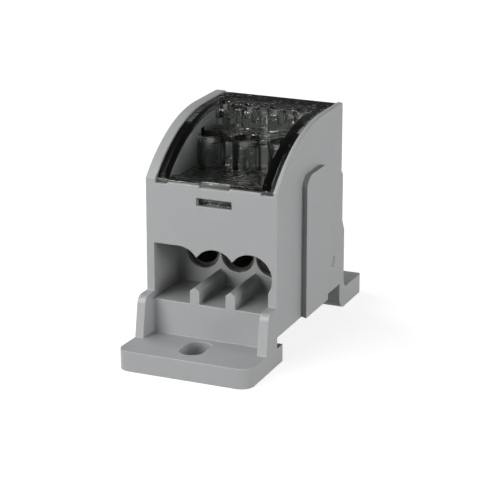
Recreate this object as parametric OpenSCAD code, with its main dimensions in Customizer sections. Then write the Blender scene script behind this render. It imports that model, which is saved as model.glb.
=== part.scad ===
// Power distribution block for one pole: a moulded housing that screws down
// or snaps on a 35 mm mounting rail, a metal conductor bar with wire bores
// and clamp screws, and a smoke-clear hinged cover.
// X runs across the block, Y from the front to the rear and Z up.
// The origin is on the base plane, in the middle of the whole outline.

/* [Body] */
// Width of the body without the side key
body_w = 28.6; // [27.6:0.1:32]
// Depth from the front wall's plane to the upper rear wall's face
body_d = 35.3; // [35:0.1:38]
// Height of the top over the base plane
body_h = 46; // [45:0.1:52]
// Height where the front curve starts over the front wall's plane
curve_start_h = 35.9; // [35.6:0.1:37]
// Depth over which the front curves up to the flat top
curve_run = 24; // [20:0.5:27]
// Height of the front wall's top edge
front_h = 35.3; // [34.8:0.1:35.4]
// Thickness of the front wall
front_wall = 1.4; // [1.2:0.1:1.8]
// Thickness of the left wall, which carries the key's groove
left_wall = 3.25; // [2.8:0.05:4]
// Thickness of the right wall
right_wall = 2; // [1.9:0.05:2.6]
// Thickness of the upper rear wall
rear_wall = 1.6; // [1.2:0.1:1.8]
// Height of the rear wall's top edge under the cover's hinge bar
rear_wall_h = 35.4; // [33:0.1:35.4]
// Radius of the rounded long edges of the body
edge_r = 0.3; // [0.2:0.1:0.8]
// Radius of the upper rear corner
corner_r = 0.8; // [0.4:0.1:1]

/* [Base] */
// Height of the body's underside, which rests on the rail
under_h = 6; // [5.5:0.1:7]
// Thickness of the front flange at its front edge
flange_t = 4.2; // [3.8:0.1:4.6]
// Thickness of the flange at its root and of the lip behind it
root_t = 3.65; // [3:0.05:3.8]
// Length of the front flange ahead of the front wall's plane
flange_len = 14.4; // [12:0.1:18]
// Length of the flange's lip that hooks under the rail
lip_len = 2.9; // [2:0.1:4]
// Radius of the flange's plan corners
plan_r = 2.7; // [2:0.1:5]
// Radius of the foot's plan corners
foot_r = 0.5; // [0.3:0.1:3]
// Width of the mounting rail
rail_w = 35; // [34.5:0.1:36]
// Play of the rail in its channel
rail_play = 0.2; // [0.1:0.05:0.5]
// Thickness of the rear foot
foot_t = 4.3; // [4:0.1:5.5]
// Length of the rear foot behind its screw slot's centre
foot_tail = 5; // [4.8:0.1:7]
// Radius of the foot's lower front nose
nose_r = 2.7; // [1:0.1:3.5]
// Thickness of the web that carries the rear foot
rear_web = 2.3; // [2:0.1:3.5]
// Height of the rear web where it starts to step in
rear_web_h = 17.5; // [14:0.1:18]
// Radius of the fillet between the rear web and the foot
foot_fillet = 2; // [0.5:0.1:3]
// Distance between the centres of the two screw slots
slot_pitch = 50; // [48:0.1:51]
// Distance from the front slot's centre to the front wall's plane
slot_to_wall = 6.8; // [6.4:0.1:8]
// Distance of the slots' centres from the body's middle, to the right
slot_x = -0.5; // [-0.8:0.1:0.8]
// Width of a screw slot
slot_w = 5.2; // [4.2:0.1:5.4]
// End-to-end length of a screw slot
slot_len = 8.6; // [6:0.1:9]

/* [Front entry] */
// Thickness of the lower front wall, which stands ahead of the front wall
apron = 0.9; // [0.8:0.05:1.8]
// Height of the wire floor over the base plane
floor_h = 10.85; // [10.5:0.05:11.5]
// Height of the side gussets
gusset_h = 12.2; // [11.6:0.1:14]
// Reach of the gussets ahead of the front wall's plane
gusset_reach = 5.75; // [4.5:0.05:6.5]
// Slope of the gussets' front edge, as run over rise
gusset_lean = 0.17; // [0.1:0.01:0.3]
// Radius of the gussets' upper corner
gusset_r = 1.8; // [0.8:0.1:2]
// Radius of the fillets between the gussets and the lower front wall
web_fillet = 0.6; // [0.3:0.1:1]
// Thickness of the left side at the front entry
entry_side = 1.75; // [1.4:0.05:2.4]
// Spacing of the front terminals
front_pitch = 7.78; // [7.2:0.02:7.8]
// Height of the front wire axes
front_axis_h = 17.7; // [17.2:0.1:18.4]
// Radius of the scallops in the front wall
scallop_r = 4.75; // [4.2:0.05:5]
// Distance from the front wall's plane to the inner wall
entry_depth = 12; // [10:0.1:12.4]
// Thickness of the inner wall
inner_wall = 1.2; // [0.8:0.1:1.6]
// Radius of the round entries in the inner wall
entry_r = 3.7; // [3.2:0.05:3.8]
// Width of a rib between two wire lanes
rib_w = 2; // [1.2:0.1:2.6]
// Height of a rib's shoulders over the wire floor
rib_h = 2.75; // [2:0.05:3.5]
// Height of the roof on a rib
rib_roof = 0.8; // [0.4:0.05:1.2]
// Height of the deck over the front entry
deck_h = 24.7; // [24.2:0.1:26]
// Thickness of that deck
deck_t = 1.5; // [1:0.1:1.8]

/* [Rear entry] */
// Spacing of the rear terminals
rear_pitch = 5.8; // [5.5:0.05:5.8]
// Height of the rear wire axes
rear_axis_h = 25.4; // [24.8:0.1:26]
// Free width beside the outer rear wire axes
rear_mouth_side = 3.1; // [2.95:0.05:3.2]
// Free height over the rear bores
rear_mouth_up = 1.8; // [1.4:0.1:2]
// Radius of the rear opening's upper corners
rear_mouth_r = 1; // [0.6:0.1:1.2]
// Distance that the rear entry band stands behind the upper rear wall
band_d = 0.9; // [0.8:0.1:1.2]
// Height of the rear entry band's lower edge
band_low = 20; // [19:0.1:21]
// Height of the rear entry band's upper edge
band_high = 31; // [30:0.1:32]

/* [Conductor bar] */
// Radius of the front wire bores
front_bore_r = 2.9; // [2.6:0.05:3]
// Radius of the rear wire bores
rear_bore_r = 2.1; // [1.8:0.05:2.2]
// Depth of the front step of the bar
bar_front_d = 7.8; // [7.2:0.1:8.4]
// Depth of the rear step of the bar
bar_rear_d = 9.8; // [9.2:0.1:10]
// Metal left at the end of each row's first bore
bar_wall = 1.3; // [1.2:0.1:1.6]
// Step in depth from one bore to the next, so no two end in one plane
bore_step = 0.1; // [0.05:0.05:0.15]
// Metal below the front bores
bar_sole = 1.4; // [1:0.1:1.8]
// Metal above the front bores, which holds the front screws
bar_crown = 4.8; // [4:0.1:5.2]
// Metal below the rear bores
rear_sole = 2.9; // [2:0.1:3]
// Metal above the rear bores, which holds the rear screws
rear_crown = 3.9; // [3.4:0.1:4.4]
// Gap round the bar in its pocket
bar_gap = 0.15; // [0.1:0.05:0.3]
// Reach of the two hooks that hold the bar down
hook = 0.8; // [0.5:0.05:0.9]
// Height of those hooks
hook_h = 2.4; // [1.6:0.1:3]
// Length of those hooks
hook_len = 2.8; // [2:0.1:4]

/* [Clamp screws] */
// Radius of a front clamp screw
front_screw_r = 2.5; // [2:0.05:2.6]
// Length of a front clamp screw
front_screw_len = 9; // [7:0.1:10]
// Radius of a rear clamp screw
rear_screw_r = 2; // [1.5:0.05:2.1]
// Length of a rear clamp screw
rear_screw_len = 6.4; // [5:0.1:6.5]
// Distance from the bar's front face to the front screws
front_screw_in = 3.4; // [3.2:0.1:4]
// Distance from the bar's rear face to the rear screws
rear_screw_in = 5; // [4:0.1:5.6]
// Height of a raised screw's tip above its wire bore
tip_gap = 0.2; // [0.1:0.05:0.6]
// Radial gap between a screw and its threaded hole
thread_gap = 0.06; // [0.03:0.01:0.09]

/* [Cover] */
// Thickness of the cover's sheet
sheet = 1.4; // [1:0.1:1.6]
// Width of the wall ledge under each side edge of the cover
ledge = 1.1; // [0.8:0.05:1.2]
// Gap between the cover and the housing
cover_gap = 0.2; // [0.15:0.05:0.3]
// Thickness of the cheeks that close the steps at both sides
cheek_t = 1.5; // [1:0.1:2]
// Depth of the cheeks below the top, near the hinge
skirt_d = 2.6; // [1.5:0.1:3.5]
// Height of the low front step
pan_h = 35.3; // [34.6:0.1:35.4]
// Height of the middle step, which the front wells open in
tread_h = 41.5; // [39.5:0.1:42]
// Thickness of the upright webs between the steps
web_t = 1; // [0.8:0.1:1.4]
// Thickness of the lip that lies on the front wall
lip_t = 0.6; // [0.4:0.05:0.8]
// Radius of the hinge bar
bar_r = 2.3; // [2:0.1:2.4]
// Height of the hinge axis
hinge_h = 38; // [37.8:0.1:40]
// Extra depth of the ledges behind the hinge axis, for the cover's swing
hinge_drop = 0.8; // [0.6:0.1:1.2]
// Radius of the hinge pins
pin_r = 1.1; // [0.8:0.05:1.3]
// Length of the hinge pins
pin_len = 1.2; // [0.8:0.1:1.4]
// Radial gap round a hinge pin
pin_gap = 0.06; // [0.03:0.01:0.09]
// Outer radius of the front screwdriver wells
well_r = 3; // [2.9:0.05:3.2]
// Radius of the mouth of a front well
well_bore_r = 2.5; // [2.2:0.05:2.6]
// Radius of the driver hole below a front well's shoulder
well_core_r = 1.8; // [1.4:0.05:2]
// Outer radius of the rear screwdriver tubes
tube_r = 2.1; // [2:0.05:2.3]
// Radius of the driver hole in a rear tube
tube_bore_r = 1.55; // [1.3:0.05:1.6]
// Height of the lower end of the rear tubes' legs
tube_low_h = 42.6; // [42.4:0.1:43]
// Gap between the two legs of a rear tube
leg_gap = 1.7; // [1:0.1:2]
// Depth of the three notches in the front wall's top edge
notch_d = 0.4; // [0.3:0.05:0.6]
// Width of the two corner notches
corner_w = 2.8; // [2:0.1:3.5]
// Width of the latch window in the front wall
window_w = 7.7; // [6:0.1:9]
// Height of the latch window
window_h = 1.7; // [1.4:0.1:2]
// Height of the window's lower edge
window_low = 31.2; // [30.8:0.1:31.6]
// Width of the latch tongue, as of the notch over it
tongue_w = 6.6; // [5:0.1:7]
// Thickness of the latch tongue
tongue_t = 1.2; // [0.8:0.1:1.6]
// Wall left in front of the latch tongue
relief_wall = 0.9; // [0.7:0.05:1]
// Swing room in front of the latch tongue
tongue_room = 0.85; // [0.8:0.05:1.2]

/* [Side key] */
// Distance that the dovetail key stands off the right side
key_d = 1.25; // [0.8:0.05:1.6]
// Distance from the front wall's plane to the key
key_y = 12.5; // [12.4:0.1:13]
// Width of the key's outer face
key_w = 12.3; // [9:0.1:14]
// Undercut on each flank of the key
key_undercut = 0.6; // [0.3:0.05:0.9]
// Height of the key's top
key_h = 35.9; // [30:0.1:36]
// Radius of the key's upper corners
key_r = 3; // [1:0.1:4]
// Gap between a neighbour's key and the groove
key_gap = 0.15; // [0.1:0.05:0.3]

// Radius of the round ejector mark behind the key
mark_r = 1.2; // [0.8:0.1:1.6]
// Depth of that mark
mark_d = 0.2; // [0.1:0.05:0.4]
// Distance of that mark's middle from the key
mark_gap = 5.9; // [4:0.1:7]
// Height of that mark's middle above the body's underside
mark_up = 6.4; // [4:0.1:9]

/* [Rail latch] */
// Width of the latch's lower rails
latch_w = 12; // [10:0.1:13]
// Step on each side that keeps the latch in the foot
latch_step = 0.8; // [0.5:0.05:1.2]
// Thickness of the latch
latch_t = 2; // [1.6:0.1:2.2]
// Reach of the latch's nose under the rail
latch_reach = 2; // [1.5:0.1:2.4]
// Height of the latch's nose
latch_nose_h = 4.7; // [4:0.1:4.9]
// Travel of the latch
latch_travel = 2.2; // [2:0.1:2.4]
// Length of the latch's pull tab behind the foot
latch_tail = 2.6; // [2:0.1:4]
// Gap round the latch in its channel
latch_gap = 0.2; // [0.15:0.05:0.3]

/* [Hidden] */
$fn = 64;
// Overshoot of a cut past the face it opens
cut = 1;
// Overlap that joins two solids of one moulding
weld = 0.4;
// Depth to which a straight edge runs into the round corner that it meets
touch = 0.01;
front_lanes = 3;
rear_lanes = 4;
half_w = body_w / 2;
// Inner cavity between the side walls and its centre line
cave_l = left_wall - half_w;
cave_r = half_w - right_wall;
core_x = (cave_l + cave_r) / 2;
// Front curve of the roof
curve_drop = body_h - curve_start_h;
curve_r = (curve_run * curve_run + curve_drop * curve_drop) / (2 * curve_drop);
curve_z = body_h - curve_r;
// Rear foot and web
foot_y = rail_w + rail_play;
web_y = foot_y + rear_web;
rear_slot_y = slot_pitch - slot_to_wall;
foot_end = rear_slot_y + foot_tail;
band_y = body_d + band_d;
// Place of the front wall's plane, with the whole outline centred
front_y = (flange_len - foot_end - latch_tail) / 2;
// Conductor bar
bar_y = entry_depth + inner_wall;
bar_mid = bar_y + bar_front_d;
bar_end = bar_mid + bar_rear_d;
bar_w = cave_r - cave_l - 2 * bar_gap;
bar_low = front_axis_h - front_bore_r - bar_sole;
bar_step_h = front_axis_h + front_bore_r + bar_crown;
rear_low = rear_axis_h - rear_bore_r - rear_sole;
rear_top = rear_axis_h + rear_bore_r + rear_crown;
front_screw_y = bar_y + front_screw_in;
rear_screw_y = bar_end - rear_screw_in;
front_tip = front_axis_h + front_bore_r + tip_gap;
rear_tip = rear_axis_h + rear_bore_r + tip_gap;
// Cover
rim_l = cave_l - ledge;
rim_r = cave_r + ledge;
cover_end = body_d - cover_gap / 2;
hinge_y = cover_end - bar_r;
tongue_y = relief_wall + tongue_room;
tongue_low = window_low - cover_gap;
tongue_bar_w = window_w - 1.5 * cover_gap;
pan_y = front_wall + 3 * cover_gap;
pan_low = pan_h - sheet;
lip_low = front_h + cover_gap;
seat_end = pan_y + 2 * cover_gap;
// Underside pockets
pocket_wall = 1.8;
pocket_rib = 1.4;
// Height of the ramp on the latch's nose
nose_ramp = 1.5;

function lane_x(i, count, pitch) = core_x + (i - (count - 1) / 2) * pitch;
function front_x(i) = lane_x(i, front_lanes, front_pitch);
function rear_x(i) = lane_x(i, rear_lanes, rear_pitch);

// Moves the block's own frame, with Y from the front wall's plane, to the origin
module place() translate([-key_d / 2, front_y, 0]) children();

// Extrudes a side view, drawn with Y to the right and Z up, across the block
module across(x0, x1)
    translate([x0, 0, 0]) rotate([90, 0, 90]) linear_extrude(x1 - x0) children();

// Extrudes a front view, drawn with X to the right and Z up, along Y
module along(y0, y1)
    translate([0, y1, 0]) rotate([90, 0, 0]) linear_extrude(y1 - y0) children();

// A box from its two corners
module box(low, high) translate(low) cube(high - low);

// A rectangle from its two corners
module area(low, high) translate(low) square(high - low);

// Area over the front curve, at a depth below the roof line
module over_curve(depth) difference() {
    area([-cut, curve_z], [curve_run, body_h + 2 * cut]);
    translate([curve_run, curve_z]) circle(curve_r - depth);
}

// Side view of everything above the roof line, at a depth below it
module over_roof(depth) {
    over_curve(depth);
    area([curve_run, body_h - depth], [body_d + cut, body_h + 2 * cut]);
}

// What a round of radius r takes off a corner whose material is at -X and -Y
module round_off(r) difference() {
    translate([-r, -r]) square(r + cut);
    translate([-r, -r]) circle(r);
}

// Side view of the body with its stepped rear and front apron
module body_side() difference() {
    union() {
        area([0, under_h], [body_d, body_h]);
        area([-apron, under_h], [weld, floor_h]);
        area([-apron, 0], [0, floor_h]);
        polygon([[body_d - weld, under_h], [web_y, under_h], [web_y, rear_web_h],
                 [band_y, band_low], [band_y, band_high - band_d],
                 [body_d, band_high], [body_d - weld, band_high]]);
    }
    over_curve(0);
    translate([body_d, body_h]) round_off(corner_r);
}

// Side view of the rear foot with its round nose and the fillet on its web
module foot_side() difference() {
    union() {
        area([foot_y, 0], [foot_end, foot_t]);
        area([foot_y, nose_r], [web_y, under_h + weld]);
        area([foot_y, 0], [web_y + foot_fillet, foot_t + foot_fillet]);
    }
    translate([web_y + foot_fillet, foot_t + foot_fillet]) circle(foot_fillet);
    difference() {
        area([foot_y - cut, -cut], [foot_y + nose_r, nose_r]);
        translate([foot_y + nose_r, nose_r]) circle(nose_r);
    }
}

// Plan of the base plates: corners of radius r at one end, at y1
module plate_plan(y0, y1, r) {
    side = y1 > y0 ? 1 : -1;
    inner = y1 - side * r;
    for (x = [-1, 1]) translate([x * (half_w - r), inner]) circle(r);
    area([-half_w, min(y0, inner)], [half_w, max(y0, inner)]);
    area([r - half_w, min(inner, y1)], [half_w - r, max(inner, y1)]);
}

// Front flange, whose top falls a little towards its root
module flange() intersection() {
    linear_extrude(flange_t) plate_plan(lip_len, -flange_len, plan_r);
    across(-half_w, half_w)
        polygon([[-flange_len, 0], [lip_len, 0], [lip_len, root_t], [-apron, root_t],
                 [-flange_len, flange_t]]);
}

// Screw slot that runs along Y
module slot_plan() {
    reach = (slot_len - slot_w) / 2;
    for (y = [-1, 1]) translate([0, y * reach]) circle(d = slot_w);
    area([-slot_w / 2, -reach], [slot_w / 2, reach]);
}

// Side view of a front gusset with a round upper corner
module gusset_side() {
    lean = atan(gusset_lean);
    foot = [-gusset_reach, root_t - weld];
    centre_z = gusset_h - gusset_r;
    tangent_z = centre_z + gusset_r * sin(lean);
    tangent_y = foot[0] + (tangent_z - foot[1]) * tan(lean);
    centre_y = tangent_y + gusset_r * cos(lean);
    // The straight edge ends a little inside the round corner, so the two cross cleanly
    edge_end = [tangent_y + touch * cos(lean), tangent_z - touch * sin(lean)];
    translate([centre_y, centre_z]) circle(gusset_r);
    polygon([foot, edge_end, [centre_y, centre_z],
             [centre_y, gusset_h], [weld, gusset_h], [weld, under_h],
             [0, under_h], [0, foot[1]]]);
}

// Fillet in the corner between a gusset's inner face, at x, and the lower front wall
module gusset_fillet(x, inward)
    translate([x, -apron, root_t - weld]) mirror([inward > 0 ? 0 : 1, 0, 0])
        linear_extrude(floor_h - root_t + weld) difference() {
            area([-weld, -web_fillet], [web_fillet, weld]);
            translate([web_fillet, -web_fillet]) circle(web_fillet);
        }

// Plan of the dovetail key, grown by a gap on every side
module key_plan(grow) {
    root = key_y + key_undercut;
    polygon([[half_w - weld, root - grow], [half_w, root - grow],
             [half_w + key_d + grow, key_y - grow],
             [half_w + key_d + grow, key_y + key_w + grow],
             [half_w, key_y + key_w - key_undercut + grow],
             [half_w - weld, key_y + key_w - key_undercut + grow]]);
}

// Side view of the key with its round upper corners
module key_side(grow) {
    r = key_r + grow;
    low = [key_y - grow, under_h];
    high = [key_y + key_w + grow, key_h + grow];
    for (y = [low[0] + r, high[0] - r]) translate([y, high[1] - r]) circle(r);
    area(low, [high[0], high[1] - r]);
    area([low[0] + r, low[1]], [high[0] - r, high[1]]);
}

module key(grow, low) intersection() {
    translate([0, 0, low]) linear_extrude(body_h) key_plan(grow);
    union() {
        across(half_w - weld, half_w + key_d + grow) key_side(grow);
        box([half_w - weld, key_y - grow, low],
            [half_w + key_d + grow, key_y + key_w + grow, under_h + weld]);
    }
}

// Cutter that rounds the long edges of one side: the front edge, the curve
// and the flat top
module edge_rounding(side) mirror([side > 0 ? 0 : 1, 0, 0]) {
    curve_angle = asin(curve_run / curve_r);
    translate([half_w, 0, gusset_h]) linear_extrude(body_h) rotate(-90) round_off(edge_r);
    translate([half_w, body_d + cut, body_h]) rotate([90, 0, 0])
        linear_extrude(body_d - curve_run + cut) round_off(edge_r);
    translate([0, curve_run, curve_z]) rotate([90, 0, 90]) rotate([0, 0, 90])
        rotate_extrude(angle = curve_angle + 2) translate([curve_r, half_w]) round_off(edge_r);
}

// Front view of the scalloped wire opening
module scallops() {
    entry_l = entry_side - half_w;
    for (i = [0 : front_lanes - 1]) translate([front_x(i), front_axis_h]) circle(scallop_r);
    area([entry_l, floor_h], [cave_r, front_axis_h]);
    area([entry_l, floor_h], [front_x(0), front_axis_h + scallop_r]);
}

// Front view of the wide opening in the rear wall
module rear_mouth() {
    low = [rear_x(0) - rear_mouth_side, rear_low];
    high = [rear_x(rear_lanes - 1) + rear_mouth_side, rear_axis_h + rear_bore_r + rear_mouth_up];
    r = rear_mouth_r;
    for (x = [low[0] + r, high[0] - r]) translate([x, high[1] - r]) circle(r);
    area(low, [high[0], high[1] - r]);
    area([low[0] + r, low[1]], [high[0] - r, high[1]]);
}

// Rib between two lanes with a roof-shaped top
module lane_rib(x) {
    shoulder = floor_h + rib_h;
    along(-apron, entry_depth + weld)
        polygon([[x - rib_w / 2, floor_h - weld], [x + rib_w / 2, floor_h - weld],
                 [x + rib_w / 2, shoulder], [x, shoulder + rib_roof],
                 [x - rib_w / 2, shoulder]]);
}

// Underside pockets that keep the moulding's walls even
module underside_pockets() {
    low_x = cave_l + pocket_wall - left_wall / 2;
    step = (cave_r - low_x + pocket_rib) / 3;
    zones = [[lip_len, entry_depth, floor_h - pocket_wall],
             [entry_depth + pocket_wall, bar_mid - pocket_rib, bar_low - pocket_wall],
             [bar_mid + pocket_rib, body_d - pocket_wall, rear_low - pocket_wall]];
    for (i = [0 : 2], zone = zones)
        box([low_x + i * step, zone[0], under_h - cut],
            [low_x + (i + 1) * step - pocket_rib, zone[1], zone[2]]);
}

// Channel under the rear foot in which the latch slides
module latch_channel() {
    low_half = latch_w / 2 + latch_gap;
    wide_half = low_half + latch_step;
    step_z = latch_t / 2 + latch_gap;
    top = latch_t + 2 * latch_gap;
    box([-low_half, foot_y - cut, -cut], [low_half, foot_end + cut, top]);
    box([-wide_half, foot_y - cut, step_z - latch_gap], [wide_half, foot_end + cut, top]);
    // Room for the nose when the latch is pulled back
    box([-low_half, foot_y - cut, -cut], [low_half, foot_y + latch_travel, latch_nose_h + latch_gap]);
}

// Space inside the body over the entry deck and round the conductor bar
module cavity() {
    high = body_h + cut;
    box([cave_l, front_wall, deck_h], [cave_r, bar_y, high]);
    box([cave_l, bar_y, bar_low], [cave_r, bar_mid + bar_gap, high]);
    box([cave_l, bar_mid, rear_low], [cave_r, bar_end + bar_gap, high]);
    box([cave_l, bar_mid, band_high], [cave_r, body_d - rear_wall, high]);
    box([cave_l, bar_end, rear_wall_h], [cave_r, body_d + cut, high]);
}

// Front views of the notches in the front wall's top edge and of the cover's
// lips in them, which are smaller by a gap on each side
module notches(gap) {
    low = front_h - notch_d + gap;
    for (x = [rim_l, rim_r - corner_w])
        area([x + gap, low], [x + corner_w - gap, front_h + weld + gap]);
    area([core_x - tongue_w / 2 + gap, low], [core_x + tongue_w / 2 - gap, front_h + weld + gap]);
}

// Seat of the cover in the side walls, the front wall and the rear
module cover_seat() {
    depth = sheet + cover_gap;
    across(rim_l, rim_r) intersection() {
        over_roof(depth);
        area([-cut, front_h], [body_d + cut, body_h + cut]);
    }
    box([rim_l, hinge_y, body_h - depth - hinge_drop], [rim_r, body_d + cut, body_h]);
    box([rim_l, -cut, front_h], [rim_r, seat_end, body_h]);
    along(-cut, seat_end) notches(0);
}

// Latch window and the thinner wall that the tongue passes
module latch_window() {
    box([core_x - window_w / 2, -cut, window_low],
        [core_x + window_w / 2, front_wall + cut, window_low + window_h]);
    box([core_x - window_w / 2, relief_wall, tongue_low - 2 * cover_gap],
        [core_x + window_w / 2, front_wall + cut, body_h]);
}

// Shallow round mark low on the right side
module side_mark()
    translate([half_w - mark_d, key_y + key_w + mark_gap, under_h + mark_up])
        rotate([0, 90, 0]) cylinder(r = mark_r, h = mark_d + cut);

// Hook that holds the conductor bar down in its pocket
module bar_hook(wall_x, inward) {
    low = rear_top + bar_gap;
    along(rear_screw_y - hook_len, rear_screw_y)
        polygon([[wall_x - inward * weld, low], [wall_x + inward * hook, low],
                 [wall_x - inward * weld, low + hook_h]]);
}

module housing() color("#a2a3a4") place() {
    difference() {
        union() {
            across(-half_w, half_w) body_side();
            flange();
            across(-half_w, entry_side - half_w) gusset_side();
            across(cave_r, half_w) gusset_side();
            gusset_fillet(entry_side - half_w, 1);
            gusset_fillet(cave_r, -1);
            intersection() {
                across(-half_w, half_w) foot_side();
                linear_extrude(body_h) plate_plan(foot_y, foot_end, foot_r);
            }
            key(0, under_h);
        }
        cavity();
        cover_seat();
        latch_window();
        along(-cut / 4, front_wall + cut) scallops();
        box([entry_side - half_w, front_wall, floor_h],
            [cave_r, entry_depth, deck_h - deck_t]);
        for (i = [0 : front_lanes - 1])
            translate([front_x(i), bar_y + cut, front_axis_h]) rotate([90, 0, 0])
                cylinder(r = entry_r, h = inner_wall + 2 * cut);
        along(bar_end, band_y + cut) rear_mouth();
        for (x = [cave_l - pin_len - cover_gap, cave_r - cut])
            translate([x, hinge_y, hinge_h]) rotate([0, 90, 0])
                cylinder(r = pin_r + pin_gap, h = pin_len + cover_gap + cut);
        for (y = [-slot_to_wall, rear_slot_y])
            translate([slot_x, y, -cut]) linear_extrude(under_h) slot_plan();
        latch_channel();
        underside_pockets();
        translate([-body_w, 0, 0]) key(key_gap, 0);
        side_mark();
        edge_rounding(1);
        edge_rounding(-1);
    }
    for (i = [0 : front_lanes - 2]) lane_rib(front_x(i) + front_pitch / 2);
    bar_hook(cave_l, 1);
    bar_hook(cave_r, -1);
}

// Side view of the room that the cover may fill below the roof line
module under_roof() difference() {
    area([cover_gap, pan_low], [cover_end, body_h]);
    over_roof(cover_gap);
    translate([cover_end, body_h - cover_gap]) round_off(corner_r);
}

// Side view of the cover's rim, which lies on the ledges of the side walls
module rim_side() difference() {
    intersection() {
        under_roof();
        area([0, lip_low], [body_d, body_h]);
    }
    difference() {
        area([-cut, 0], [body_d + cut, body_h]);
        over_roof(sheet);
    }
}

// Side view of the lip on the front wall
module lip_side() intersection() {
    area([cover_gap, lip_low], [seat_end - cover_gap, lip_low + lip_t]);
    under_roof();
}

// Side view of the three steps of the sheet
module steps_side() intersection() {
    union() {
        area([pan_y, pan_low], [pan_y + sheet, lip_low + lip_t]);
        area([pan_y, pan_low], [front_screw_y + web_t / 2, pan_h]);
        area([front_screw_y - web_t / 2, pan_low], [front_screw_y + web_t / 2, tread_h]);
        area([front_screw_y - web_t / 2, tread_h - sheet], [rear_screw_y + web_t / 2, tread_h]);
        area([rear_screw_y - web_t / 2, body_h - sheet], [cover_end, body_h]);
    }
    under_roof();
}

// Side view of the cheeks that close the steps at both sides
module cheek_side() intersection() {
    union() {
        area([pan_y, pan_low], [front_screw_y + web_t / 2, body_h]);
        area([front_screw_y, tread_h - sheet], [rear_screw_y + web_t / 2, body_h]);
        area([rear_screw_y, body_h - sheet - skirt_d], [hinge_y, body_h]);
    }
    under_roof();
}

// One cylinder along Z for each terminal of a row
module tube_row(count, pitch, y, r, low, high)
    for (i = [0 : count - 1])
        translate([lane_x(i, count, pitch), y, low]) cylinder(r = r, h = high - low);

// Front view of the two round-ended legs of each rear tube
module tube_legs() {
    leg_w = tube_r - leg_gap / 2;
    for (i = [0 : rear_lanes - 1], side = [-1, 1])
        translate([rear_x(i) + side * (leg_gap + leg_w) / 2, tube_low_h + leg_w / 2]) {
            circle(leg_w / 2);
            translate([-leg_w / 2, 0]) square([leg_w, body_h - sheet - tube_low_h]);
        }
}

// Rear tubes: full rings through the top, and legs below it
module rear_tubes(low_x, high_x) intersection() {
    tube_row(rear_lanes, rear_pitch, rear_screw_y, tube_r, tube_low_h, body_h);
    across(low_x, high_x) under_roof();
    union() {
        along(0, body_d) tube_legs();
        box([low_x, 0, body_h - sheet], [high_x, body_d, body_h]);
    }
}

// Posts between the rear tubes, from the middle step to the top
module rear_posts()
    for (i = [0 : rear_lanes - 2])
        translate([rear_x(i) + (rear_pitch - web_t) / 2, rear_screw_y - web_t / 2, tread_h - sheet])
            cube([web_t, web_t, body_h - tread_h]);

// Latch tongue with the wider bar that shows in the window
module tongue() {
    box([core_x - tongue_w / 2, tongue_y, tongue_low],
        [core_x + tongue_w / 2, tongue_y + tongue_t, pan_h]);
    box([core_x - tongue_bar_w / 2, tongue_y, tongue_low],
        [core_x + tongue_bar_w / 2, tongue_y + tongue_t, tongue_low + window_h]);
}

// Hinge bar with its pins and the thick rail that joins it to the top
module hinge_bar(low_x, high_x) {
    translate([low_x, hinge_y, hinge_h]) rotate([0, 90, 0])
        cylinder(r = bar_r, h = high_x - low_x);
    translate([low_x - pin_len, hinge_y, hinge_h]) rotate([0, 90, 0])
        cylinder(r = pin_r, h = high_x - low_x + 2 * pin_len);
    box([low_x, hinge_y - bar_r, hinge_h], [high_x, cover_end, body_h - sheet]);
}

module cover() color("#3a3d3a", 0.6) place() {
    low_x = cave_l + cover_gap;
    high_x = cave_r - cover_gap;
    difference() {
        union() {
            across(rim_l + cover_gap, low_x + cheek_t) rim_side();
            across(high_x - cheek_t, rim_r - cover_gap) rim_side();
            across(rim_l + cover_gap, rim_r - cover_gap) lip_side();
            along(cover_gap, front_wall) notches(cover_gap);
            difference() {
                union() {
                    across(low_x, low_x + cheek_t) cheek_side();
                    across(high_x - cheek_t, high_x) cheek_side();
                    across(low_x, high_x) steps_side();
                }
                tube_row(rear_lanes, rear_pitch, rear_screw_y, tube_r, tread_h - 2 * sheet, tube_low_h);
            }
            tube_row(front_lanes, front_pitch, front_screw_y, well_r, pan_low, tread_h);
            rear_tubes(low_x, high_x);
            rear_posts();
            hinge_bar(low_x, high_x);
            tongue();
        }
        tube_row(front_lanes, front_pitch, front_screw_y, well_bore_r, tread_h - sheet, tread_h + cut);
        tube_row(front_lanes, front_pitch, front_screw_y, well_core_r, pan_low - cut, tread_h);
        tube_row(rear_lanes, rear_pitch, rear_screw_y, tube_bore_r, tread_h - 2 * sheet, body_h);
    }
}

module conductor_block() color("#b9b7b0") place() {
    low_x = cave_l + bar_gap;
    difference() {
        union() {
            box([low_x, bar_y, bar_low], [low_x + bar_w, bar_mid, bar_step_h]);
            box([low_x, bar_mid - weld, rear_low], [low_x + bar_w, bar_end, rear_top]);
        }
        for (i = [0 : front_lanes - 1]) {
            translate([front_x(i), bar_mid - bar_wall + i * bore_step, front_axis_h])
                rotate([90, 0, 0]) cylinder(r = front_bore_r, h = bar_front_d + cut);
            translate([front_x(i), front_screw_y, front_axis_h])
                cylinder(r = front_screw_r + thread_gap, h = body_h);
        }
        for (i = [0 : rear_lanes - 1]) {
            translate([rear_x(i), bar_mid + bar_wall - i * bore_step, rear_axis_h])
                rotate([-90, 0, 0]) cylinder(r = rear_bore_r, h = bar_rear_d + cut);
            translate([rear_x(i), rear_screw_y, rear_axis_h])
                cylinder(r = rear_screw_r + thread_gap, h = body_h);
        }
    }
}

// Headless clamp screw with chamfered ends, without its drive
module screw_blank(r, len) {
    chamfer = r / 5;
    cylinder(r1 = r - chamfer, r2 = r, h = chamfer);
    translate([0, 0, chamfer]) cylinder(r = r, h = len - 2 * chamfer);
    translate([0, 0, len - chamfer]) cylinder(r1 = r, r2 = r - chamfer, h = chamfer);
}

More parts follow.
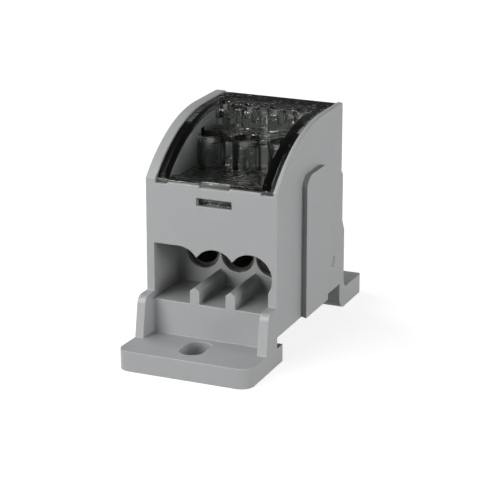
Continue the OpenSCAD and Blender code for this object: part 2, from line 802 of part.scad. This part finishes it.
// Front clamp screw with a hexagon socket
module front_screw(i) color("#8f9194") place() translate([front_x(i), front_screw_y, front_tip])
    difference() {
        screw_blank(front_screw_r, front_screw_len);
        translate([0, 0, front_screw_len - front_screw_r])
            cylinder(r = 0.58 * front_screw_r, h = front_screw_r + cut, $fn = 6);
    }

// Rear clamp screw with a screwdriver slot
module rear_screw(i) color("#8f9194") place() translate([rear_x(i), rear_screw_y, rear_tip])
    difference() {
        screw_blank(rear_screw_r, rear_screw_len);
        translate([-rear_screw_r, -rear_screw_r / 5, rear_screw_len - rear_screw_r * 0.8])
            cube([2 * rear_screw_r, rear_screw_r * 0.4, rear_screw_r]);
    }

// Frame-shaped latch: a nose under the rail, two side rails past the screw
// slot and a pull tab behind the foot
module rail_latch() color("#4a4d50") place() {
    half = latch_w / 2;
    low = latch_gap;
    top = latch_gap + latch_t;
    step_z = latch_gap + latch_t / 2;
    nose_y = foot_y - latch_reach;
    end = foot_end + latch_tail;
    window_half = slot_w / 2 + 3 * latch_gap;
    window_y0 = rear_slot_y - slot_len / 2 - latch_travel - latch_gap;
    window_y1 = rear_slot_y + slot_len / 2 + latch_gap;
    difference() {
        union() {
            across(-half, half) polygon([[nose_y + nose_ramp, low], [end, low], [end, top],
                                         [foot_y - latch_gap, top], [foot_y - latch_gap, latch_nose_h],
                                         [nose_y, latch_nose_h], [nose_y, low + nose_ramp]]);
            box([-half - latch_step, foot_y + latch_gap, step_z],
                [half + latch_step, foot_end - latch_gap, top]);
        }
        box([slot_x - window_half, window_y0, low - cut], [slot_x + window_half, window_y1, top + cut]);
        translate([0, foot_end + latch_tail / 2, low - cut])
            cylinder(d = latch_tail / 2, h = latch_t + 2 * cut);
    }
}

housing();
cover();
conductor_block();
front_screw(0);  // front_screw_1
front_screw(1);  // front_screw_2
front_screw(2);  // front_screw_3
rear_screw(0);  // rear_screw_1
rear_screw(1);  // rear_screw_2
rear_screw(2);  // rear_screw_3
rear_screw(3);  // rear_screw_4
rail_latch();
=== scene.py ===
# %% [markdown]
# # A power distribution block, dressed for a studio picture
#
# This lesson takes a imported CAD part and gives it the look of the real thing: a
# grey moulded housing, a smoke-clear cover, plated metal inside and a dark rail
# latch. The CAD shapes stay where they are. We add materials, cut real threads
# on the clamp screws, light the set and place the camera.

# %% Load the frame
import math

import bmesh
import bpy
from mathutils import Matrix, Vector


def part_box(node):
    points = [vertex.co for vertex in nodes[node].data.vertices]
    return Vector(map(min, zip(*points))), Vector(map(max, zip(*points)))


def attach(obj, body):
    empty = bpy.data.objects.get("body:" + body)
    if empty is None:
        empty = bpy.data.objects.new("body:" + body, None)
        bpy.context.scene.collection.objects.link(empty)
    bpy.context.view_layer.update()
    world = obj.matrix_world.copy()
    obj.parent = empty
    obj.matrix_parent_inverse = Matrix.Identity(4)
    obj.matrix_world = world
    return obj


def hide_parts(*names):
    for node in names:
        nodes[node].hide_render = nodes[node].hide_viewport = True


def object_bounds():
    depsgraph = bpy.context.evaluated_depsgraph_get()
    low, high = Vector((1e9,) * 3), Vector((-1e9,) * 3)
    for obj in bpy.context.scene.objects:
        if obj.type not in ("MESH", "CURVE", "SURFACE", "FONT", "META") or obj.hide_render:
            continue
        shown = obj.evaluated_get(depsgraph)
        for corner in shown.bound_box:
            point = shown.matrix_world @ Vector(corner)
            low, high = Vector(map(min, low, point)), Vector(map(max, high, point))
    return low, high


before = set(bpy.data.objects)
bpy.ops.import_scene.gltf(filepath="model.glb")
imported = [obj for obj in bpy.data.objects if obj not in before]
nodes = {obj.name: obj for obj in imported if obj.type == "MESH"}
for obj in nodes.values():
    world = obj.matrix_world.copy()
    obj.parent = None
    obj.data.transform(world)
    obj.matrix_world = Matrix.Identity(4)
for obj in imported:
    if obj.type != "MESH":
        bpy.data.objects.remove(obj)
cad_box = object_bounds()
MM = 0.001
print("CAD nodes:", ", ".join(sorted(nodes)))
print("CAD box in mm:", [[round(v / MM, 2) for v in corner] for corner in cad_box])

# %% [markdown]
# ## Helpers for materials
#
# Colours are written as sRGB hex values, as a colour picker shows them, but the
# shader works with linear light. One function converts them. A second one adds a
# node, sets its inputs and links what feeds it, so that a material reads as a
# short list of nodes from the pattern to the surface.


# %% Colour and node helpers
def linear(hex_code):
    """sRGB hex to the linear RGBA that shader sockets take."""
    channels = [int(hex_code[i:i + 2], 16) / 255 for i in (1, 3, 5)]
    return [c / 12.92 if c <= 0.04045 else ((c + 0.055) / 1.055) ** 2.4 for c in channels] + [1.0]


def add_node(tree, kind, settings=None, **inputs):
    """Adds one node. settings are its properties; inputs are values, or sockets to link."""
    node = tree.nodes.new(kind)
    for name, value in (settings or {}).items():
        setattr(node, name, value)
    for name, value in inputs.items():
        socket = node.inputs[int(name[1:]) if name[0] == "_" else name.replace("_", " ")]
        if isinstance(value, bpy.types.NodeSocket):
            tree.links.new(value, socket)
        else:
            socket.default_value = value
    return node


def new_material(name):
    """An empty node material and its output node."""
    material = bpy.data.materials.new(name)
    material.use_nodes = True
    material.node_tree.nodes.clear()
    return material, material.node_tree, add_node(material.node_tree, "ShaderNodeOutputMaterial")


print("mid grey #808080 is", [round(c, 3) for c in linear("#808080")[:3]], "in linear light")

# %% [markdown]
# ## The housing: grey polyamide, moulded in a spark-eroded tool
#
# The tool's eroded walls leave a fine, even grain on the plastic, which turns its
# gloss into a soft sheen. We could sculpt that grain, but it is only a few
# hundredths of a millimetre deep, so a bump from a noise pattern is enough. The
# long edges are rounded in the CAD solid already. The small tool radius on every
# other edge comes from the Bevel node, which bends the normals near an edge. Where the
# bent normal differs from the true one, there is an edge, and there a painted
# highlight makes the grey paler, like the thin line of light on a rounded edge.

# %% Material: moulded grey polyamide
GRAIN = 0.16 * MM          # grit of the eroded surface; the real 0.03 mm is too fine to show
CLOUD = 9 * MM             # slow change of shade where the melt flowed
TOOL_RADIUS = 0.22 * MM    # edge radius that a mould leaves
EDGE_HIGHLIGHT = 0.7            # how far the edges go towards the paler grey of the painted highlight
EDGE_START, EDGE_FULL = 0.97, 0.88   # cosines of the bend at which the painted edge highlight begins and is full

housing_plastic, tree, output = new_material("moulded_grey_polyamide")
place = add_node(tree, "ShaderNodeTexCoord").outputs["Object"]
cloud = add_node(tree, "ShaderNodeTexNoise", Vector=place, Scale=1 / CLOUD, Detail=3.0, Roughness=0.55)
grain = add_node(tree, "ShaderNodeTexNoise", Vector=place, Scale=1 / GRAIN, Detail=2.0, Roughness=0.6)
shade = add_node(tree, "ShaderNodeMix", {"data_type": "RGBA"}, Factor=cloud.outputs["Fac"],
                 _6=linear("#a1a2a3"), _7=linear("#a7a8a9"))
sheen = add_node(tree, "ShaderNodeMapRange", Value=grain.outputs["Fac"], To_Min=0.46, To_Max=0.6)
soft_edge = add_node(tree, "ShaderNodeBevel", {"samples": 6}, Radius=TOOL_RADIUS)
bump = add_node(tree, "ShaderNodeBump", Height=grain.outputs["Fac"], Strength=0.12,
                Distance=0.02 * MM, Normal=soft_edge.outputs["Normal"])
true_normal = add_node(tree, "ShaderNodeNewGeometry").outputs["Normal"]
bend = add_node(tree, "ShaderNodeVectorMath", {"operation": "DOT_PRODUCT"}, _0=soft_edge.outputs["Normal"],
                _1=true_normal)
# Painted highlight: the edges are painted a paler grey, as if light caught their rounding.
painted_edge_highlight = add_node(tree, "ShaderNodeMapRange", Value=bend.outputs["Value"], From_Min=EDGE_START,
                  From_Max=EDGE_FULL, To_Max=EDGE_HIGHLIGHT)
grey_with_painted_highlight = add_node(tree, "ShaderNodeMix", {"data_type": "RGBA"}, Factor=painted_edge_highlight.outputs["Result"],
                _6=shade.outputs[2], _7=linear("#d2d3d3"))
surface = add_node(tree, "ShaderNodeBsdfPrincipled", Base_Color=grey_with_painted_highlight.outputs[2], IOR=1.53,
                   Roughness=sheen.outputs["Result"], Normal=bump.outputs["Normal"])
tree.links.new(surface.outputs["BSDF"], output.inputs["Surface"])
print("housing grain", GRAIN / MM, "mm, edge radius", TOOL_RADIUS / MM, "mm")

# %% [markdown]
# ## The cover: smoke-tinted polycarbonate
#
# The cover is moulded in a polished tool, so it is glossy and clear, with a dark tint
# all through the plastic. The upright walls are clear, but the flat steps have a
# pebbled surface, which turns what lies below them into a crowd of small lights. We
# could model each pebble, but they are too shallow to change the outline. So they are
# a bump that only acts where the cover's own normal points up or down, and that is
# calmer on the top step.

# %% Material: smoke polycarbonate, pebbles and edges
SMOKE_RADIUS = 0.28 * MM   # edge radius of the cover, drawn wide to catch thin lines of light
PEBBLE = 0.9 * MM          # size of the pebbles on the flat steps
PEBBLE_DEPTH = 0.28 * MM   # height that the bump stands for on the lower steps
CALM_FROM, CALM_TO, CALM = 42 * MM, 45 * MM, 0.22   # between these heights the pebbles fade to this share

smoke, tree, output = new_material("smoke_polycarbonate")
place = add_node(tree, "ShaderNodeTexCoord").outputs
spot = add_node(tree, "ShaderNodeSeparateXYZ", Vector=place["Object"]).outputs
faces = add_node(tree, "ShaderNodeSeparateXYZ", Vector=place["Normal"]).outputs
flat = add_node(tree, "ShaderNodeMath", {"operation": "POWER"}, _0=faces["Z"], _1=8.0)
calm = add_node(tree, "ShaderNodeMapRange", Value=spot["Z"], From_Min=CALM_FROM, From_Max=CALM_TO,
                To_Min=1.0, To_Max=CALM)
rough = add_node(tree, "ShaderNodeMath", {"operation": "MULTIPLY"}, _0=flat.outputs[0],
                 _1=calm.outputs["Result"])
pebbles = add_node(tree, "ShaderNodeTexNoise", Vector=place["Object"], Scale=1 / PEBBLE, Detail=1.0)
soft_edge = add_node(tree, "ShaderNodeBevel", {"samples": 4}, Radius=SMOKE_RADIUS)
bump = add_node(tree, "ShaderNodeBump", Height=pebbles.outputs["Fac"], Strength=rough.outputs[0],
                Distance=PEBBLE_DEPTH, Normal=soft_edge.outputs["Normal"])
print("cover edge radius", SMOKE_RADIUS / MM, "mm, pebbles", PEBBLE / MM, "mm")

# %% [markdown]
# The hinge rail at the rear looks almost black in the photograph, and so do the front
# edges of the cheeks, the lips and the tongue. A mask finds these faces by their place
# and by the way they face, and they take a darker surface colour.
# This darker colour is painted shade.

# %% Material: smoke polycarbonate, painted shade on the rims and the rail
CHEEK = 1.7 * MM           # the outer strips of the cover that count as its cheeks
LIP_PLANE = -17.0 * MM     # what stands ahead of this plane is lip or tongue
FACES_FRONT = -0.3         # a normal with a smaller Y than this faces the front
RAIL_FROM, RAIL_TO, RAIL_SHARE = 11.5 * MM, 12.5 * MM, 0.8   # where the rail begins, and how far its painted shade goes

cover_low, cover_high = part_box("cover")
middle = (cover_low[0] + cover_high[0]) / 2
aside = add_node(tree, "ShaderNodeMath", {"operation": "SUBTRACT"}, _0=spot["X"], _1=middle)
aside = add_node(tree, "ShaderNodeMath", {"operation": "ABSOLUTE"}, _0=aside.outputs[0])
cheek = add_node(tree, "ShaderNodeMath", {"operation": "GREATER_THAN"}, _0=aside.outputs[0],
                 _1=cover_high[0] - middle - CHEEK)
ahead = add_node(tree, "ShaderNodeMath", {"operation": "LESS_THAN"}, _0=spot["Y"], _1=LIP_PLANE)
rim = add_node(tree, "ShaderNodeMath", {"operation": "MAXIMUM"}, _0=cheek.outputs[0], _1=ahead.outputs[0])
front = add_node(tree, "ShaderNodeMath", {"operation": "LESS_THAN"}, _0=faces["Y"], _1=FACES_FRONT)
edge = add_node(tree, "ShaderNodeMath", {"operation": "MULTIPLY"}, _0=rim.outputs[0], _1=front.outputs[0])
rear = add_node(tree, "ShaderNodeMapRange", Value=spot["Y"], From_Min=RAIL_FROM, From_Max=RAIL_TO,
                To_Max=RAIL_SHARE)
# Painted shade: the rail and the front rims of the cheeks, lips and tongue take a near-black surface
# colour in place of the shade that lies on them.
painted_shade = add_node(tree, "ShaderNodeMath", {"operation": "MAXIMUM"}, _0=edge.outputs[0],
                _1=rear.outputs["Result"])
shade = add_node(tree, "ShaderNodeMix", {"data_type": "RGBA"}, Factor=painted_shade.outputs[0],
                 _6=linear("#ffffff"), _7=linear("#303230"))
print("cover is", round((cover_high[0] - cover_low[0]) / MM, 2), "mm wide, cheeks", CHEEK / MM, "mm")

# %% [markdown]
# A tinted surface colour would darken thin and thick places alike. Volume Absorption
# darkens by the length of plastic that the light crosses instead, so the thin steps
# stay see-through while thick places turn dark. Lamps don't reach through bent glass
# without a great deal of noise, so rays from lamps meet a plain Transparent shader,
# and are tinted by the same volume.

# %% Material: smoke polycarbonate, clear body and tint
SMOKE = linear("#7d857a")  # tint of the plastic, a little green
SMOKE_DENSITY = 430.0      # absorption per metre, for each share of a colour that the tint lacks

surface = add_node(tree, "ShaderNodeBsdfPrincipled", Base_Color=shade.outputs[2], IOR=1.585,
                   Roughness=0.02, Transmission_Weight=1.0, Normal=bump.outputs["Normal"])
passing = add_node(tree, "ShaderNodeBsdfTransparent", Color=linear("#f4f4f4"))
rays = add_node(tree, "ShaderNodeLightPath").outputs
glass = add_node(tree, "ShaderNodeMixShader", _0=rays["Is Shadow Ray"], _1=surface.outputs["BSDF"],
                 _2=passing.outputs["BSDF"])
tint = add_node(tree, "ShaderNodeVolumeAbsorption", Color=SMOKE, Density=SMOKE_DENSITY)
tree.links.new(glass.outputs["Shader"], output.inputs["Surface"])
tree.links.new(tint.outputs["Volume"], output.inputs["Volume"])
kept = [math.exp(-SMOKE_DENSITY * MM * (1 - channel)) for channel in SMOKE[:3]]
print("1 mm of cover keeps", [round(share, 2) for share in kept], "of red, green and blue")

# %% [markdown]
# ## The metal: tin-plated brass and zinc-plated steel
#
# The bar is sawn from extruded brass and plated with tin. Fresh tin is a soft white
# metal, but the bores look almost black, so the colour here is painted much darker
# than tin, as painted shade for the deep, dim bores, with faint lines along the
# extrusion. The screws are turned from steel and plated with zinc, which is brighter
# and a little blue. Both are full metals, so only the colour, the roughness and a fine
# line pattern differ.

# %% Material: tin-plated brass
LINES = 0.25 * MM          # spacing of the drawing lines, drawn coarser than real to show

tinned, tree, output = new_material("tin_plated_brass")
place = add_node(tree, "ShaderNodeTexCoord").outputs["Object"]
drawn = add_node(tree, "ShaderNodeMapping", Vector=place, Scale=(0.05, 1.0, 1.0))
lines = add_node(tree, "ShaderNodeTexNoise", Vector=drawn.outputs["Vector"], Scale=1 / LINES, Detail=2.0)
gloss = add_node(tree, "ShaderNodeMapRange", Value=lines.outputs["Fac"], To_Min=0.24, To_Max=0.42)
bump = add_node(tree, "ShaderNodeBump", Height=lines.outputs["Fac"], Strength=0.15, Distance=0.01 * MM)
# Painted shade: #63615c is much darker than tin and stands for the shade in the deep bores.
surface = add_node(tree, "ShaderNodeBsdfPrincipled", Base_Color=linear("#63615c"), Metallic=1.0,
                   Roughness=gloss.outputs["Result"], Normal=bump.outputs["Normal"])
tree.links.new(surface.outputs["BSDF"], output.inputs["Surface"])

# %% Material: zinc-plated steel
BLOOM = 0.6 * MM           # size of the patches in which the plating is duller or brighter

zinc, tree, output = new_material("zinc_plated_steel")
place = add_node(tree, "ShaderNodeTexCoord").outputs["Object"]
spots = add_node(tree, "ShaderNodeTexNoise", Vector=place, Scale=1 / BLOOM, Detail=3.0)
gloss = add_node(tree, "ShaderNodeMapRange", Value=spots.outputs["Fac"], To_Min=0.18, To_Max=0.36)
surface = add_node(tree, "ShaderNodeBsdfPrincipled", Base_Color=linear("#bfc3c8"), Metallic=1.0,
                   Roughness=gloss.outputs["Result"])
tree.links.new(surface.outputs["BSDF"], output.inputs["Surface"])
print("metals:", tinned.name, "and", zinc.name)

# %% [markdown]
# ## The rail latch: black polyamide
#
# The latch is moulded like the housing, but from a black, glass-filled grade whose
# fibres show as a slightly streaky sheen.

# %% Material: black glass-filled polyamide
FIBRE = 0.3 * MM           # width of a streak of fibres; real fibres are too fine to show

latch_plastic, tree, output = new_material("black_glass_filled_polyamide")
place = add_node(tree, "ShaderNodeTexCoord").outputs["Object"]
flow = add_node(tree, "ShaderNodeMapping", Vector=place, Scale=(1.0, 0.2, 1.0))
fibres = add_node(tree, "ShaderNodeTexNoise", Vector=flow.outputs["Vector"], Scale=1 / FIBRE, Detail=3.0)
shade = add_node(tree, "ShaderNodeMix", {"data_type": "RGBA"}, Factor=fibres.outputs["Fac"],
                 _6=linear("#2c2e30"), _7=linear("#3a3d40"))
sheen = add_node(tree, "ShaderNodeMapRange", Value=fibres.outputs["Fac"], To_Min=0.4, To_Max=0.55)
soft_edge = add_node(tree, "ShaderNodeBevel", {"samples": 6}, Radius=TOOL_RADIUS)
surface = add_node(tree, "ShaderNodeBsdfPrincipled", Base_Color=shade.outputs[2], IOR=1.53,
                   Roughness=sheen.outputs["Result"], Normal=soft_edge.outputs["Normal"])
tree.links.new(surface.outputs["BSDF"], output.inputs["Surface"])
print("latch streaks", FIBRE / MM, "mm wide")

# %% [markdown]
# ## Finishes on the CAD nodes
#
# The moulded pieces and the bar have their true shapes in the CAD model, so they
# stay and only change their material.

# %% Assign the materials
for name, material in {"housing": housing_plastic, "cover": smoke, "conductor_block": tinned,
                       "rail_latch": latch_plastic}.items():
    nodes[name].data.materials.clear()
    nodes[name].data.materials.append(material)
    print(name, "->", material.name)

# %% [markdown]
# ## Clamp screws with real threads
#
# The CAD screws have smooth sides, which is right for collision, but the real ones
# are threaded from end to end. A thread is a ramp that winds round the cylinder, one
# pitch higher after each turn. We build it as a grid of points whose radius swings
# between the crest and the root, narrow both ends to chamfers and sink a drive into
# the head.


# %% Threaded screw
def threaded_screw(name, node, pitch, drive):
    """A set screw inside the CAD node's box, with a thread of that pitch and a hex or slot drive."""
    low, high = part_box(node)
    centre = (low + high) / 2
    crest = (high.x - low.x) / 2
    root = crest - 0.55 * pitch
    chamfer = crest / 5
    around, rows_per_turn = 48, 8
    height = high.z - low.z
    rows = int(height / pitch * rows_per_turn)
    mesh = bmesh.new()
    rings = []
    for row in range(rows + 1):
        z = height * row / rows
        ring = []
        for step in range(around):
            turn = step / around
            phase = (z / pitch - turn) % 1.0
            swing = abs(2 * phase - 1)
            radius = root + (crest - root) * min(1.0, max(0.0, 1.6 * swing - 0.3))
            end = min(z, height - z)
            radius = min(radius, crest - max(0.0, chamfer - end))
            angle = 2 * math.pi * turn
            ring.append(mesh.verts.new((radius * math.cos(angle), radius * math.sin(angle), z)))
        rings.append(ring)
    for lower, upper in zip(rings, rings[1:]):
        for step in range(around):
            nxt = (step + 1) % around
            mesh.faces.new((lower[step], lower[nxt], upper[nxt], upper[step]))
    mesh.faces.new(list(reversed(rings[0])))
    mesh.faces.new(rings[-1])
    data = bpy.data.meshes.new(name)
    mesh.to_mesh(data)
    mesh.free()
    screw = bpy.data.objects.new(name, data)
    bpy.context.scene.collection.objects.link(screw)
    cut_drive(screw, crest, height, drive)
    screw.location = (centre.x, centre.y, low.z)
    screw.data.materials.append(zinc)
    return screw


def cut_drive(screw, crest, height, drive):
    """Sinks a hexagon socket or a slot into the head with a Boolean."""
    cutter = bmesh.new()
    if drive == "hex":
        bmesh.ops.create_cone(cutter, cap_ends=True, segments=6, radius1=0.58 * crest,
                              radius2=0.58 * crest, depth=2 * crest)
        bmesh.ops.translate(cutter, verts=cutter.verts, vec=(0, 0, height))
    else:
        bmesh.ops.create_cube(cutter, size=1.0)
        bmesh.ops.scale(cutter, verts=cutter.verts, vec=(4 * crest, 0.4 * crest, 1.6 * crest))
        bmesh.ops.translate(cutter, verts=cutter.verts, vec=(0, 0, height))
    data = bpy.data.meshes.new("drive_cutter")
    cutter.to_mesh(data)
    cutter.free()
    tool = bpy.data.objects.new("drive_cutter", data)
    bpy.context.scene.collection.objects.link(tool)
    boolean = screw.modifiers.new("drive", "BOOLEAN")
    boolean.object = tool
    boolean.solver = "EXACT"
    bpy.context.view_layer.update()
    done = bpy.data.meshes.new_from_object(screw.evaluated_get(bpy.context.evaluated_depsgraph_get()))
    screw.modifiers.clear()
    screw.data = done
    bpy.data.objects.remove(tool)


# %% Make the seven screws
for row, count, pitch, drive in (("front", 3, 0.8 * MM, "hex"), ("rear", 4, 0.7 * MM, "slot")):
    for number in range(1, count + 1):
        node = f"{row}_screw_{number}"
        screw = threaded_screw(f"{node}_threaded", node, pitch, drive)
        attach(screw, node)
        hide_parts(node)
    print(row, "screws:", count, "with", pitch / MM, "mm pitch,", len(screw.data.polygons), "faces each")

# %% [markdown]
# ## The set: pale floor and low white backdrop
#
# The photograph has a plain white ground. A pale floor takes the soft shadow, and
# the world shows white near the horizon, as a low backdrop would. Higher up the
# world is dim, like the ceiling of a studio, so that the glossy cover stays dark.


# %% Floor
def seen_rays(tree):
    """1 for camera, mirrored and refracted rays, 0 for rays that light a matt surface."""
    rays = add_node(tree, "ShaderNodeLightPath").outputs
    seen = rays["Is Camera Ray"]
    for name in ("Is Glossy Ray", "Is Transmission Ray"):
        both = add_node(tree, "ShaderNodeMath", {"operation": "MAXIMUM"}, _0=seen, _1=rays[name])
        seen = both.outputs[0]
    return seen


FLOOR_RADIUS = 4.0         # metres, far past the edges of the picture
FLOOR_GLOW = 0.84          # brings the lit floor up to white where it is seen

floor_mesh = bmesh.new()
bmesh.ops.create_circle(floor_mesh, cap_ends=True, segments=96, radius=FLOOR_RADIUS)
floor_data = bpy.data.meshes.new("floor")
floor_mesh.to_mesh(floor_data)
floor_mesh.free()
floor = bpy.data.objects.new("floor", floor_data)
floor.location.z = cad_box[0][2] - 0.02 * MM
bpy.context.scene.collection.objects.link(floor)

floor_paint, tree, output = new_material("pale_floor_paint")
glow = add_node(tree, "ShaderNodeMath", {"operation": "MULTIPLY"}, _0=seen_rays(tree), _1=FLOOR_GLOW)
matt = add_node(tree, "ShaderNodeBsdfDiffuse", Color=linear("#9a9a9a"))
lit = add_node(tree, "ShaderNodeEmission", Color=linear("#ffffff"), Strength=glow.outputs[0])
both = add_node(tree, "ShaderNodeAddShader", _0=matt.outputs[0], _1=lit.outputs[0])
tree.links.new(both.outputs[0], output.inputs["Surface"])
floor.data.materials.append(floor_paint)
print("floor radius", FLOOR_RADIUS, "m")

# %% World
AMBIENT = 0.03             # light from the room's walls on matt surfaces
WHITE_BELOW, DIM_ABOVE, DIM = 0.09, 0.20, 0.06   # heights on the unit sphere, and the level above them

world = bpy.data.worlds.new("studio")
bpy.context.scene.world = world
world.use_nodes = True
tree = world.node_tree
tree.nodes.clear()
direction = add_node(tree, "ShaderNodeTexCoord").outputs["Generated"]
height = add_node(tree, "ShaderNodeSeparateXYZ", Vector=direction).outputs["Z"]
ramp = add_node(tree, "ShaderNodeMapRange", {"interpolation_type": "SMOOTHSTEP"}, Value=height,
                From_Min=WHITE_BELOW, From_Max=DIM_ABOVE, To_Min=1.0, To_Max=DIM)
level = add_node(tree, "ShaderNodeMix", {"data_type": "FLOAT"}, Factor=seen_rays(tree), _2=AMBIENT,
                 _3=ramp.outputs["Result"])
sky = add_node(tree, "ShaderNodeBackground", Color=linear("#ffffff"), Strength=level.outputs[0])
add_node(tree, "ShaderNodeOutputWorld", Surface=sky.outputs[0])
print("world white below", round(math.degrees(math.asin(WHITE_BELOW)), 1), "degrees")

# %% [markdown]
# ## Lights
#
# The front and the right side are nearly equally bright in the photograph, the flat
# tops are a little darker, and the top of the rear foot is dark. So the light comes in
# low from the front and from the right, and a lamp high on the left only brushes the
# tops and the edges. Light from several lamps adds up, so each lamp was rendered
# alone, the powers were solved for the levels that the photograph shows, and then
# adjusted a little. A weak lamp behind keeps the rear from going black in other
# views. The curved edges of the cover would mirror the front, high and rear lamps as
# white patches, so those make no highlights. One small lamp makes no soft light and
# only sparkles on the cover's rims.


# %% Softboxes
def softbox(name, azimuth, elevation, distance, size, power, mirrored=True, lights=True):
    """A square area lamp aimed at the block's middle, with or without highlights or soft light."""
    lamp = bpy.data.lights.new(name, "AREA")
    lamp.shape = "SQUARE"
    lamp.size = size
    lamp.energy = power
    holder = bpy.data.objects.new(name, lamp)
    holder.visible_glossy = mirrored
    holder.visible_diffuse = lights
    bpy.context.scene.collection.objects.link(holder)
    aim = Vector((0, 0, 0.02))
    az, el = math.radians(azimuth), math.radians(elevation)
    towards = Vector((math.sin(az) * math.cos(el), -math.cos(az) * math.cos(el), math.sin(el)))
    holder.location = aim + distance * towards
    holder.rotation_euler = (aim - holder.location).to_track_quat("-Z", "Y").to_euler()
    print(name, "at", [round(v, 2) for v in holder.location], power, "W")


softbox("key_front", -25, 6, 0.9, 0.6, 7.0, mirrored=False)
softbox("high_left", -50, 58, 0.9, 0.6, 3.6, mirrored=False)
softbox("side_right", 80, 4, 0.9, 0.6, 8.0)
softbox("rear_fill", 250, 30, 0.9, 0.4, 3.5, mirrored=False)
softbox("sparkle", -40, 30, 0.9, 0.4, 13.0, lights=False)

# %% [markdown]
# ## Camera
#
# The camera's place and lens come from fitting the block's straight edges in the
# photograph: it looks down by 18 degrees from 23 degrees to the right of the front,
# through a long lens.

# %% Camera
AZIMUTH, ELEVATION = math.radians(23.275), math.radians(18.135)
TARGET = Vector((1.443, -8.45, 21.894)) * MM
DISTANCE = 411.08 * MM
FOCAL_PIXELS, IMAGE_PIXELS, SENSOR = 2030.12, 480, 36.0

camera_data = bpy.data.cameras.new("camera")
camera_data.sensor_width = SENSOR
camera_data.lens = FOCAL_PIXELS / IMAGE_PIXELS * SENSOR
camera_data.clip_start = 0.01
camera = bpy.data.objects.new("camera", camera_data)
bpy.context.scene.collection.objects.link(camera)
offset = Vector((math.sin(AZIMUTH) * math.cos(ELEVATION), -math.cos(AZIMUTH) * math.cos(ELEVATION),
                 math.sin(ELEVATION)))
camera.location = TARGET + DISTANCE * offset
camera.rotation_euler = (-offset).to_track_quat("-Z", "Y").to_euler()
bpy.context.scene.camera = camera
bpy.context.scene.view_settings.view_transform = "Standard"
print("lens", round(camera_data.lens, 2), "mm")
